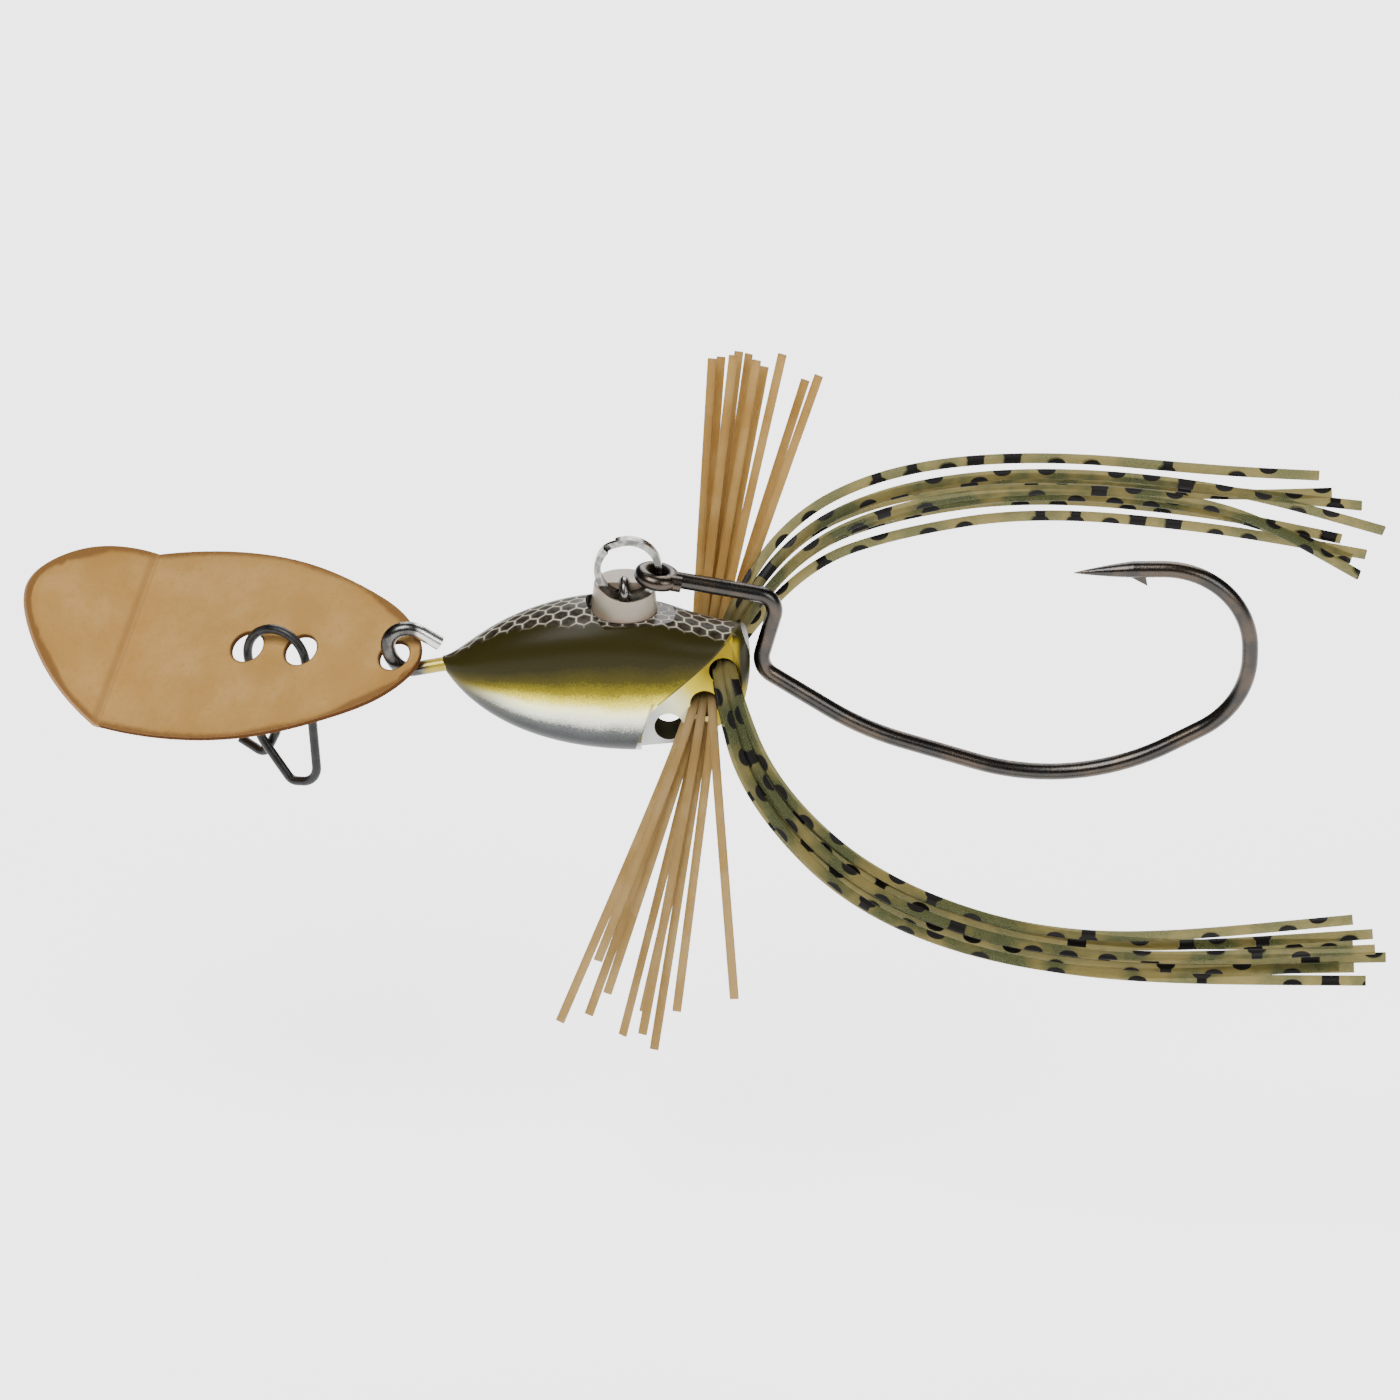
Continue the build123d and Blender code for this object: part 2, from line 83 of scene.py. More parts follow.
OLIVE_LATTICE += [(x, 0.0) for x in (-0.35, 0.35)]
OLIVE_LATTICE += [(x, -0.7) for x in (-0.62, 0.0, 0.62)]
# centre line of each half bundle: x, y, z and how far its strands have spread apart there
TAN_FAR_ROUTE = [(3.2, 0, 2.3, 1), (3.2, 5.6, 2.3, 1), (7.9, 13.6, 29.0, 1)]
TAN_NEAR_ROUTE = [(3.2, 0, 2.3, 1), (3.2, -3.4, 2.3, 1), (-2.5, -7.0, -26.5, 1)]
OLIVE_FAR_ROUTE = [
    (4.9, 0, 5.6, 1), (4.9, 3.8, 5.6, 1), (11.3, 9.2, 12.9, 2.4), (20.0, 12.8, 15.4, 3.2),
    (33.0, 16.8, 15.3, 2.8), (50.0, 21.5, 11.3, 2.8), (62.5, 24.5, 6.5, 3),
]
OLIVE_NEAR_ROUTE = [
    (4.9, 0, 5.6, 1), (4.9, -4.0, 5.6, 1), (8.2, -6.4, -4.6, 1.8), (19.0, -8.8, -14.6, 2.6),
    (37.0, -11.2, -19.0, 2.4), (62.6, -12.0, -17.4, 2.4),
]
TAN_FAR_TIPS = [
    (5.8, 12.2, 30.3), (7.9, 12.2, 29.8), (10.2, 12.2, 30.4),
    (3.9, 13.6, 29.3), (6.3, 13.6, 30.0), (8.6, 13.6, 28.5), (13.5, 13.6, 27.6),
    (4.7, 15.0, 28.8), (7.2, 15.0, 29.1), (12.3, 15.0, 26.5),
]
TAN_NEAR_TIPS = [
    (-6.4, -8.4, -20.3), (-2.4, -8.4, -27.8), (5.9, -8.4, -24.2),
    (-9.9, -7.0, -27.4), (-5.6, -7.0, -24.5), (-1.35, -7.0, -30.1), (0.7, -7.0, -26.2),
    (-7.25, -5.6, -27.3), (-4.2, -5.6, -29.4), (-2.3, -5.6, -27.0),
]
OLIVE_FAR_TIPS = [
    (59.1, 22.9, 13.0), (65.1, 23.3, 7.2), (62.9, 23.3, 2.7),
    (63.1, 24.6, 9.1), (62.2, 24.6, 3.7),
    (60.4, 25.9, 9.8), (61.3, 25.9, 5.1), (63.6, 25.9, 3.5),
]
OLIVE_NEAR_TIPS = [
    (62.6, -13.4, -19.7), (63.5, -13.4, -16.5), (61.3, -13.4, -13.5),
    (61.7, -12.0, -19.1), (63.2, -12.0, -15.7),
    (60.4, -10.6, -19.7), (64.5, -10.6, -18.8), (61.5, -10.6, -17.4),
]

# ---- head, mm
SCALE_PITCH = 1.38                  # from one scale cell to the next along the head
SCALE_ROW = 0.94                    # and from one staggered row to the next
# lines of the casting that the paint follows
KEEL_X = -3.0                       # lowest point of the keel, and how fast it rises from there
KEEL_Z = -3.05
KEEL_CURVE = 0.0245
SHOULDER_X = -7.0                   # the shoulder is level up to here and falls towards the nose
SHOULDER_Z = 7.9
SHOULDER_FALL = -0.19
RIDGE_X = -6.0                      # the ridge curves down ahead of here and slopes down behind
RIDGE_Z = 12.1
RIDGE_CURVE = -0.029
RIDGE_FALL = -0.24
SCALE_REACH_X = -8.0                # where the scale foil reaches farthest to the side
SCALE_REACH = 2.95
POCKET_SLOPE = 0.9                  # slanted upper edge of the pocket: z = slope * x + height
POCKET_HEIGHT = 4.1
POCKET_FRONT_LEAN = -0.2            # its front edge: x + lean * z
POCKET_FRONT = -2.5
POCKET_REAR = 5.7
POCKET_FLOOR = 2.2                  # the web's faces are nearer to the middle than this
CREASE_LEAN = -0.27                 # upright line of painted shade along that front edge: x + lean * z
CREASE = -2.3
CREASE_ENDS = ((-2.0, "GREATER_THAN"), (3.3, "LESS_THAN"))
BORE_RADIUS = 1.34                  # painted shade in the cross holes and just round them
BORE_HALF_LENGTH = 1.79
# paint on the head, from the keel (0) up to the shoulder (1); on the flank olive, gold and silver
# paint, with a painted highlight, the pale near-white band between gold and silver, and painted shade
# that darkens the keel
FLANK_PAINT_HIGHLIGHT_AND_SHADE = [
    (0.0, (0.010, 0.012, 0.013)), (0.15, (0.018, 0.020, 0.021)), (0.27, (0.075, 0.08, 0.078)),
    (0.38, (0.66, 0.66, 0.56)), (0.48, (0.92, 0.90, 0.47)), (0.57, (0.62, 0.52, 0.05)),
    (0.67, (0.17, 0.135, 0.006)), (0.79, (0.046, 0.038, 0.003)), (0.96, (0.017, 0.014, 0.003)),
]
NOSE_PAINT = [
    (0.0, (0.018, 0.021, 0.022)), (0.2, (0.05, 0.05, 0.043)), (0.42, (0.085, 0.072, 0.018)),
    (0.66, (0.042, 0.034, 0.004)), (0.94, (0.019, 0.0155, 0.003)),
]
# inside of the pocket: a painted reflection, grey to silver-white, low down, then lemon and gold paint
# that turns darker at the top of the ramp
WEB_PAINT_AND_REFLECTION = [
    (0.0, (0.42, 0.43, 0.42)), (0.3, (0.72, 0.70, 0.42)), (0.6, (0.60, 0.47, 0.025)),
    (0.95, (0.30, 0.21, 0.006)),
]
CROSS_HOLES = [(0.0, 0.0), (3.2, 2.3), (4.9, 5.6)]          # x and z of each centre
# where the eye wire is cut, and where it enters the painted nose
EYE_CUT_X = -22.4
EYE_PAINT_X = -21.2
EYE_GAP_Z = 6.6
STOPPER_MIDDLE_Z = 11.9

# ---- the blade's own axes and holes, mm
BLADE_PIVOT = Vector((-24.6, 0.0, 6.1))
BLADE_AXIS = Vector((-0.887, 0.433, -0.159)).normalized()
BLADE_NORMAL = Vector((-0.360, -0.435, 0.825)).normalized()
BLADE_SIDE = BLADE_NORMAL.cross(BLADE_AXIS)
BLADE_HOLES = [(0.0, 1.45), (9.6, 1.55), (15.1, 1.55)]      # distance from the pivot, and radius
BLADE_FOLD = 27.3
BLADE_HALF_THICKNESS = 0.25
FOLD_CREST = BLADE_FOLD + 0.25      # middle of the bend's outer side
FLAP_TURN = math.radians(53)
FLAP_AXIS = BLADE_AXIS * math.cos(FLAP_TURN) + BLADE_NORMAL * math.sin(FLAP_TURN)
# half width of the blade behind the fold and before it, against the distance along each
BLADE_HALF_WIDTH = [
    (-2.55, 0.0), (-2.45, 0.8), (-2.2, 1.5), (-1.15, 2.95), (4.4, 6.6), (12.0, 9.2), (20.0, 9.95),
    (27.5, 9.2),
]
FLAP_HALF_WIDTH = [
    (0.0, 9.2), (4.9, 7.3), (8.4, 4.4), (9.3, 3.4), (10.0, 2.35), (10.4, 1.4), (10.6, 0.0),
]
HALF_WIDTH_UNIT = 10.0              # a ramp holds 0 to 1, so half widths are kept in this unit

# ---- studio
FACING = Vector((0, -math.cos(VIEW_ELEVATION), math.sin(VIEW_ELEVATION)))
DARK_SIDE = (0.0, -0.98, 0.2)       # direction of the dark room behind the camera
DARK_EDGES = (0.25, 0.8)            # cosines from that direction where it starts and is full
WORLD_STRENGTHS = (1.8, 0.15)       # outside and inside the dark room
FLOOR_SIZE = 6                      # metres, as the drop to it and the lights' places are
FLOOR_DROP = 0.02
LIGHTS = (                          # name, place from the view's centre, size and power
    ("key", (-0.25, -0.45, 0.75), 0.5, 13.0),
    ("fill", (0.55, -0.5, 0.35), 0.4, 4.0),
    ("back", (0.1, 0.6, 0.5), 0.6, 8.0),
)


# ================= node helpers =================
class Nodes:
    """A material's node tree with short calls for the nodes used here."""

    def __init__(self, name):
        self.material = bpy.data.materials.new(name)
        self.material.use_nodes = True
        self.tree = self.material.node_tree
        self.tree.nodes.clear()
        self.output = self.tree.nodes.new("ShaderNodeOutputMaterial")

    def put(self, socket, value):
        """Links a node's output to a socket, or sets the socket's own value."""
        if isinstance(value, bpy.types.NodeSocket):
            self.tree.links.new(value, socket)
        else:
            socket.default_value = value

    def node(self, kind, out=0, settings=None, **inputs):
        """A node of a kind, with its settings and inputs, and the output that is used."""
        made = self.tree.nodes.new("ShaderNode" + kind)
        for key, value in (settings or {}).items():
            setattr(made, key, value)
        for key, value in inputs.items():
            self.put(made.inputs[key.replace("_", " ")], value)
        return made.outputs[out]

    def math(self, operation, *values, clamp=False):
        made = self.tree.nodes.new("ShaderNodeMath")
        made.operation = operation
        made.use_clamp = clamp
        for socket, value in zip(made.inputs, values):
            self.put(socket, value)
        return made.outputs[0]

    def smooth(self, value, low, high):
        """0 below low, 1 above high, and a soft step between them."""
        made = self.tree.nodes.new("ShaderNodeMapRange")
        made.interpolation_type = "SMOOTHSTEP"
        for socket, number in zip(made.inputs, (value, low, high, 0.0, 1.0)):
            self.put(socket, number)
        return made.outputs[0]

    def mix(self, factor, first, second):
        """Colour mix."""
        made = self.tree.nodes.new("ShaderNodeMix")
        made.data_type = "RGBA"
        self.put(made.inputs["Factor"], factor)
        self.put(made.inputs[6], rgba(first))
        self.put(made.inputs[7], rgba(second))
        return made.outputs[2]

    def noise(self, scale, detail=3.0, roughness=0.5, vector=None, out=0):
        made = self.tree.nodes.new("ShaderNodeTexNoise")
        self.put(made.inputs["Scale"], scale)
        self.put(made.inputs["Detail"], detail)
        self.put(made.inputs["Roughness"], roughness)
        if vector is not None:
            self.put(made.inputs["Vector"], vector)
        return made.outputs[out]

    def position(self):
        """Place on the piece at rest, in millimetres, as x, y and z."""
        spot = self.node("TexCoord", out=3)
        scaled = self.node("VectorMath", settings={"operation": "SCALE"}, Vector=spot, Scale=1 / MM)
        axes = self.tree.nodes.new("ShaderNodeSeparateXYZ")
        self.put(axes.inputs[0], scaled)
        return scaled, axes.outputs[0], axes.outputs[1], axes.outputs[2]

    def half_width(self, along, stops):
        """A half width against the distance along, through (distance, half width) stops."""
        start = stops[0][0]
        length = stops[-1][0] - start
        part = self.math("DIVIDE", self.math("SUBTRACT", along, start), length)
        greys = [((place - start) / length, (width / HALF_WIDTH_UNIT,) * 3) for place, width in stops]
        return self.math("MULTIPLY", self.ramp(part, greys, "CARDINAL"), HALF_WIDTH_UNIT)

    def ramp(self, value, stops, interpolation="LINEAR"):
        """Colours along a value, given as (place, colour) stops."""
        made = self.tree.nodes.new("ShaderNodeValToRGB")
        self.put(made.inputs[0], value)
        made.color_ramp.interpolation = interpolation
        elements = made.color_ramp.elements
        for index, (place, colour) in enumerate(stops):
            element = elements[index] if index < 2 else elements.new(place)
            element.position = place
            element.color = rgba(colour)
        return made.outputs[0]

    def bump(self, height, distance, strength=1.0):
        return self.node("Bump", Height=height, Distance=distance * MM, Strength=strength)

    def principled(self, **inputs):
        made = self.tree.nodes.new("ShaderNodeBsdfPrincipled")
        for key, value in inputs.items():
            is_colour = key.endswith("Color")
            self.put(made.inputs[key.replace("_", " ")], rgba(value) if is_colour else value)
        return made.outputs[0]

    def hexagon(self, along, across):
        """Distance from the outline of staggered hexagonal cells: 0 on it, about 0.5 in the middle."""
        distances = []
        for shift in (0.0, 0.5):
            local_x = self.math("SUBTRACT", self.math("FRACT", self.math("ADD", along, shift)), 0.5)
            row = self.math("ADD", self.math("MULTIPLY", across, 0.5), shift)
            local_y = self.math("MULTIPLY", self.math("SUBTRACT", self.math("FRACT", row), 0.5), 2.0)
            flat_x = self.math("ABSOLUTE", local_x)
            flat_y = self.math("ABSOLUTE", local_y)
            slanted = self.math("ADD", self.math("MULTIPLY", flat_x, 0.5),
                                self.math("MULTIPLY", flat_y, 0.75))
            distances.append(self.math("SUBTRACT", 0.5, self.math("MAXIMUM", flat_x, slanted)))
        return self.math("MAXIMUM", *distances)

    def spots(self, along, across):
        """Black print on a strip: bars right across it and half rounds that lean on one edge."""
        pitch = self.math("DIVIDE", along, SPOT_PITCH)
        number = self.math("FLOOR", pitch)
        chance = self.node("TexWhiteNoise", settings={"noise_dimensions": "1D"}, W=number)
        other_number = self.math("ADD", number, 40.5)
        other = self.node("TexWhiteNoise", settings={"noise_dimensions": "1D"}, W=other_number)
        middle = self.math("MULTIPLY_ADD", other, 0.4, 0.3)
        from_middle = self.math("SUBTRACT", self.math("FRACT", pitch), middle)
        offset = self.math("MULTIPLY", from_middle, SPOT_PITCH)
        half_bar = self.math("MULTIPLY_ADD", other, 0.45, 0.4)
        bar = self.math("LESS_THAN", self.math("ABSOLUTE", offset), half_bar)
        bar = self.math("MULTIPLY", bar, self.math("GREATER_THAN", chance, 0.78))
        chosen_edge = self.math("GREATER_THAN", other, 0.45)
        lean = self.math("ABSOLUTE", self.math("SUBTRACT", across, chosen_edge))
        dome_x = self.math("DIVIDE", offset, SPOT_HALF_LENGTH)
        dome_y = self.math("DIVIDE", lean, SPOT_REACH)
        dome = self.math("LESS_THAN", self.math("ADD", self.math("MULTIPLY", dome_x, dome_x),
                                                self.math("MULTIPLY", dome_y, dome_y)), 1.0)
        dome = self.math("MULTIPLY", dome, self.math("GREATER_THAN", chance, 0.2))
        return self.math("MAXIMUM", bar, dome)

    def radius(self, first, second, centre):
        """Distance of a place from a centre, both given by two axes."""
        off_first = self.math("SUBTRACT", first, centre[0])
        off_second = self.math("SUBTRACT", second, centre[1])
        return self.math("SQRT", self.math("ADD", self.math("MULTIPLY", off_first, off_first),
                                           self.math("MULTIPLY", off_second, off_second)))

    def distance_along(self, spot, direction, origin):
        """How far a place lies from an origin along a direction."""
        made = self.tree.nodes.new("ShaderNodeVectorMath")
        made.operation = "DOT_PRODUCT"
        self.put(made.inputs[0], spot)
        made.inputs[1].default_value = direction
        return self.math("SUBTRACT", made.outputs["Value"], origin.dot(direction))

    def blend(self, factor, first, second):
        """Mix of two shaders."""
        made = self.tree.nodes.new("ShaderNodeMixShader")
        for socket, value in zip(made.inputs, (factor, first, second)):
            self.put(socket, value)
        return made.outputs[0]

    def finish(self, shader):
        self.tree.links.new(shader, self.output.inputs["Surface"])
        return self.material


def rgba(value):
    """A colour of three numbers gets its alpha; anything else stays as it is."""
    if isinstance(value, tuple) and len(value) == 3:
        return (*value, 1.0)
    return value


# ================= materials =================
def wire_material(name, dark, light, roughness, metallic=1.0):
    """Plated or painted wire with a slightly cloudy surface."""
    n = Nodes(name)
    spot, _, _, _ = n.position()
    cloud = n.noise(1.4, vector=spot)
    grain = n.noise(14.0, detail=5.0, vector=spot)
    colour = n.mix(n.smooth(cloud, 0.35, 0.65), dark, light)
    rough = n.math("MULTIPLY_ADD", grain, 0.14, roughness - 0.07)
    normal = n.bump(grain, 0.012, 0.5)
    return n.finish(n.principled(
        Base_Color=colour, Metallic=metallic, Roughness=rough, Normal=normal,
        Specular_IOR_Level=0.25,
    ))


def eye_wire_material():
    """Dark plating with a bare silver cut end, and the head's gold paint where the wire enters it."""
    n = Nodes("plated_wire")
    spot, x, _, z = n.position()
    cloud = n.noise(1.2, vector=spot)
    grain = n.noise(12.0, detail=5.0, vector=spot)
    colour = n.mix(n.smooth(cloud, 0.35, 0.65), (0.045, 0.043, 0.042), (0.10, 0.097, 0.092))
    cut_end = n.math("MULTIPLY", n.smooth(x, EYE_CUT_X - 0.5, EYE_CUT_X),
                     n.math("GREATER_THAN", z, EYE_GAP_Z))
    colour = n.mix(cut_end, colour, (0.50, 0.50, 0.49))
    painted = n.math("MULTIPLY", n.smooth(x, EYE_CUT_X, EYE_PAINT_X),
                     n.math("LESS_THAN", z, EYE_GAP_Z))
    colour = n.mix(painted, colour, (0.28, 0.21, 0.012))
    return n.finish(n.principled(
        Base_Color=colour, Metallic=n.math("MULTIPLY_ADD", painted, -0.7, 1.0),
        Roughness=n.math("MULTIPLY_ADD", grain, 0.14, 0.2), Normal=n.bump(grain, 0.012, 0.5),
    ))


def hook_material():
    """Black nickel over wire, browner where the plating is thin."""
    n = Nodes("black_nickel")
    spot, _, _, _ = n.position()
    cloud = n.noise(0.35, vector=spot)
    grain = n.noise(9.0, detail=6.0, vector=spot)
    colour = n.mix(n.smooth(cloud, 0.4, 0.62), (0.04, 0.038, 0.036), (0.065, 0.052, 0.042))
    rough = n.math("MULTIPLY_ADD", grain, 0.16, 0.2)
    return n.finish(n.principled(
        Base_Color=colour, Metallic=1.0, Roughness=rough, Normal=n.bump(grain, 0.015, 0.6),
    ))


def brass_material():
    """Satin brass sheet: yellow clouds, fine mottling and pits, painted shade in dark brown on every
    rim.
    """
    n = Nodes("blade_brass")
    spot, _, _, _ = n.position()
    cloud = n.noise(0.16, detail=5.0, roughness=0.62, vector=spot)
    mottle = n.noise(1.5, detail=6.0, roughness=0.7, vector=spot)
    pits = n.noise(7.0, detail=4.0, roughness=0.75, vector=spot)
    colour = n.mix(n.smooth(cloud, 0.35, 0.68), (0.40, 0.215, 0.052), (0.46, 0.27, 0.085))
    colour = n.mix(n.smooth(mottle, 0.48, 0.8), colour, (0.34, 0.20, 0.04))
    colour = n.mix(n.smooth(pits, 0.6, 0.74), colour, (0.22, 0.115, 0.03))
    # painted shade on the cut edges and just round the holes
    along = n.distance_along(spot, BLADE_AXIS, BLADE_PIVOT)
    across = n.distance_along(spot, BLADE_SIDE, BLADE_PIVOT)
    above = n.math("ABSOLUTE", n.distance_along(spot, BLADE_NORMAL, BLADE_PIVOT))
    near_hole = 0.0
    for centre, radius in BLADE_HOLES:
        from_hole = n.math("SUBTRACT", n.radius(along, across, (centre, 0.0)), radius)
        ring = n.math("SUBTRACT", 1.0, n.smooth(from_hole, 0.05, 0.28))
        near_hole = n.math("MAXIMUM", near_hole, ring)
    flat = n.math("LESS_THAN", along, BLADE_FOLD)
    cut = n.smooth(above, BLADE_HALF_THICKNESS, BLADE_HALF_THICKNESS - 0.03)
    cut = n.math("MULTIPLY", flat, cut)
    rim_shade = n.math("MAXIMUM", cut, n.math("MULTIPLY", near_hole, 0.85))
    # darkening that fades inwards from the outline, on the flat part and on the bent one: painted
    # shade in a narrow band at the outline, a fainter darkening further in
    inside = n.math("SUBTRACT", n.half_width(along, BLADE_HALF_WIDTH), n.math("ABSOLUTE", across))
    flap_along = n.distance_along(spot, FLAP_AXIS, BLADE_PIVOT + BLADE_AXIS * BLADE_FOLD)
    flap_inside = n.math("SUBTRACT", n.half_width(flap_along, FLAP_HALF_WIDTH),
                         n.math("ABSOLUTE", across))
    on_flap = n.math("SUBTRACT", 1.0, flat)
    inside = n.math("ADD", n.math("MULTIPLY", inside, flat), n.math("MULTIPLY", flap_inside, on_flap))
    inside = n.math("MULTIPLY_ADD", mottle, 0.5, n.math("SUBTRACT", inside, 0.25))
    outline_shade = n.math("SUBTRACT", 1.0, n.smooth(inside, 0.1, 0.75))
    faint = n.math("SUBTRACT", 1.0, n.smooth(inside, 0.0, 2.6))
    colour = n.mix(n.math("MULTIPLY", faint, 0.3), colour, (0.30, 0.145, 0.025))
    colour = n.mix(n.math("MULTIPLY", outline_shade, 0.85), colour, (0.16, 0.07, 0.015))
    # a darker, less shiny band along the bend's crest
    from_fold = n.math("ABSOLUTE", n.math("SUBTRACT", along, FOLD_CREST))
    crest = n.math("SUBTRACT", 1.0, n.smooth(from_fold, 0.2, 0.5))
    colour = n.mix(n.math("MULTIPLY", crest, 0.6), colour, (0.20, 0.10, 0.03))
    shine = n.math("SUBTRACT", 1.0, n.math("MAXIMUM", n.math("MULTIPLY", crest, 0.6), rim_shade))
    # painted shade on the rims
    colour = n.mix(rim_shade, colour, (0.06, 0.026, 0.010))
    rough = n.math("MULTIPLY_ADD", mottle, 0.22, 0.42)
    height = n.math("MULTIPLY_ADD", mottle, 0.6, pits)
    return n.finish(n.principled(
        Base_Color=colour, Metallic=n.math("MULTIPLY", shine, 0.55), Roughness=rough,
        Specular_IOR_Level=n.math("MULTIPLY", shine, 0.5), Normal=n.bump(height, 0.03, 0.5),
    ))


def head_material():
    """Painted casting: scale foil on the back, olive flank over lemon and silver with a painted
    highlight between, painted shade in the holes and along the pocket's edges.
    """
    n = Nodes("scale_paint")
    spot, x, y, z = n.position()
    side = n.math("ABSOLUTE", y)
    flake = n.noise(7.0, detail=3.0, roughness=0.7, vector=spot)
    waver = n.math("MULTIPLY_ADD", n.noise(0.3, vector=spot), 0.12, -0.06)
    # height on the flank: 0 on the keel line, 1 on the shoulder
    keel_run = n.math("SUBTRACT", x, KEEL_X)
    keel = n.math("MULTIPLY_ADD", n.math("MULTIPLY", keel_run, keel_run), KEEL_CURVE, KEEL_Z)
    ahead = n.math("MAXIMUM", n.math("SUBTRACT", SHOULDER_X, x), 0.0)
    shoulder = n.math("MULTIPLY_ADD", ahead, SHOULDER_FALL, SHOULDER_Z)
    level = n.math("DIVIDE", n.math("SUBTRACT", z, keel), n.math("SUBTRACT", shoulder, keel))
    level = n.math("ADD", level, waver)
    speckled = n.math("ADD", level, n.math("MULTIPLY_ADD", flake, 0.2, -0.1))
    # flank paint with its painted highlight band and painted shade on the keel
    flank = n.ramp(speckled, FLANK_PAINT_HIGHLIGHT_AND_SHADE)
    flank = n.mix(n.smooth(x, -19.0, -12.0), n.ramp(speckled, NOSE_PAINT), flank)
    # the tail rim: gold towards the pocket and below, dark olive outside
    outside = n.math("MULTIPLY", n.smooth(x, 5.9, 6.5), n.smooth(z, 3.0, 5.0))
    tail = n.mix(outside, (0.24, 0.175, 0.005), (0.016, 0.013, 0.003))
    flank = n.mix(n.math("MULTIPLY", n.smooth(x, 4.9, 5.6), n.smooth(z, 9.0, 8.3)), flank, tail)
    # the web inside the pocket: silver below, a painted reflection, then lemon and gold paint towards
    # the tail rim
    inner = n.math("MULTIPLY", n.math("ADD", x, z), 0.105)
    web = n.ramp(n.math("ADD", inner, waver), WEB_PAINT_AND_REFLECTION)
    behind_front = n.math("MULTIPLY_ADD", z, POCKET_FRONT_LEAN, x)
    behind_front = n.math("GREATER_THAN", behind_front, POCKET_FRONT)
    slant = n.math("SUBTRACT", z, n.math("MULTIPLY", x, POCKET_SLOPE))
    in_pocket = n.math("MULTIPLY", n.math("LESS_THAN", side, POCKET_FLOOR), behind_front)
    in_pocket = n.math("MULTIPLY", in_pocket, n.math("LESS_THAN", slant, POCKET_HEIGHT))
    in_pocket = n.math("MULTIPLY", in_pocket, n.math("LESS_THAN", x, POCKET_REAR))
    colour = n.mix(in_pocket, flank, web)
    # scale foil on the back: staggered hexagonal cells that follow the ridge
    from_top = n.math("SUBTRACT", x, RIDGE_X)
    before_top = n.math("MINIMUM", from_top, 0.0)
    after_top = n.math("MAXIMUM", from_top, 0.0)
    curve = n.math("MULTIPLY_ADD", n.math("MULTIPLY", before_top, before_top), RIDGE_CURVE, RIDGE_Z)
    ridge = n.math("MULTIPLY_ADD", after_top, RIDGE_FALL, curve)
    down = n.math("MAXIMUM", n.math("SUBTRACT", ridge, z), 0.0)
    across = n.math("DIVIDE", n.math("MULTIPLY_ADD", down, 0.45, side), SCALE_ROW)
    cell = n.hexagon(n.math("DIVIDE", x, SCALE_PITCH), across)
    outline = n.math("SUBTRACT", 1.0, n.smooth(cell, 0.02, 0.075))
    heart = n.smooth(cell, 0.05, 0.24)
    streak = n.noise(2.6, detail=3.0, vector=spot)
    dark_cell = n.mix(n.smooth(streak, 0.4, 0.65), (0.008, 0.006, 0.004), (0.03, 0.024, 0.017))
    scale = n.mix(heart, (0.06, 0.05, 0.037), dark_cell)
    scale = n.mix(n.math("MULTIPLY", outline, 0.9), scale, (0.40, 0.38, 0.30))
    from_widest = n.math("SUBTRACT", x, SCALE_REACH_X)
    reach = n.math("MULTIPLY_ADD", n.math("MINIMUM", from_widest, 0.0), 0.24, SCALE_REACH)
    reach = n.math("MULTIPLY_ADD", n.math("MAXIMUM", from_widest, 0.0), -0.08, reach)
    wavy_side = n.math("ADD", side, n.math("MULTIPLY", waver, 3.0))
    back = n.smooth(n.math("SUBTRACT", reach, wavy_side), -0.3, 0.4)
    back = n.math("MULTIPLY", back, n.smooth(z, 5.2, 6.6))
    back = n.math("MULTIPLY", back, n.smooth(x, 6.2, 5.2))
    back = n.math("MULTIPLY", back, n.math("SUBTRACT", 1.0, in_pocket))
    colour = n.mix(back, colour, scale)
    # painted shade: dark lines along the pocket's slanted and front edges, where its step lies in
    # shadow, and dark bores of the cross holes, whose walls lie in shade
    from_edge = n.math("ABSOLUTE", n.math("SUBTRACT", slant, POCKET_HEIGHT - 0.15))
    edge = n.math("SUBTRACT", 1.0, n.smooth(from_edge, 0.06, 0.24))
    edge = n.math("MULTIPLY", edge, n.math("GREATER_THAN", x, -1.0))
    colour = n.mix(n.math("MULTIPLY", edge, 0.75), colour, (0.05, 0.042, 0.015))
    # painted shade along the pocket's front edge
    from_crease = n.math("SUBTRACT", n.math("MULTIPLY_ADD", z, CREASE_LEAN, x), CREASE)
    crease_shade = n.math("SUBTRACT", 1.0, n.smooth(n.math("ABSOLUTE", from_crease), 0.06, 0.26))
    for end, kind in CREASE_ENDS:
        crease_shade = n.math("MULTIPLY", crease_shade, n.math(kind, z, end))
    colour = n.mix(n.math("MULTIPLY", crease_shade, 0.6), colour, (0.09, 0.075, 0.02))
    open_bore = 1.0
    # painted shade inside each cross hole
    for centre in CROSS_HOLES:
        bore_shade = n.math("MULTIPLY", n.math("LESS_THAN", n.radius(x, z, centre), BORE_RADIUS),
                      n.math("LESS_THAN", side, BORE_HALF_LENGTH))
        colour = n.mix(bore_shade, colour, (0.03, 0.027, 0.016))
        open_bore = n.math("MULTIPLY", open_bore, n.math("SUBTRACT", 1.0, bore_shade))
    foil = n.math("MULTIPLY", n.smooth(level, 0.85, 0.5), n.math("SUBTRACT", 1.0, back))
    foil = n.math("MULTIPLY", n.math("MULTIPLY", foil, open_bore), 0.3)
    gloss = n.math("MULTIPLY", n.math("MULTIPLY_ADD", back, 0.12, 0.07), open_bore)
    relief = n.math("ADD", n.math("MULTIPLY", outline, back), n.math("MULTIPLY", flake, 0.12))
    return n.finish(n.principled(
        Base_Color=colour, Metallic=foil, Roughness=n.math("MULTIPLY_ADD", flake, 0.25, 0.22),
        Specular_IOR_Level=gloss, Normal=n.bump(relief, 0.03, 0.6),
    ))


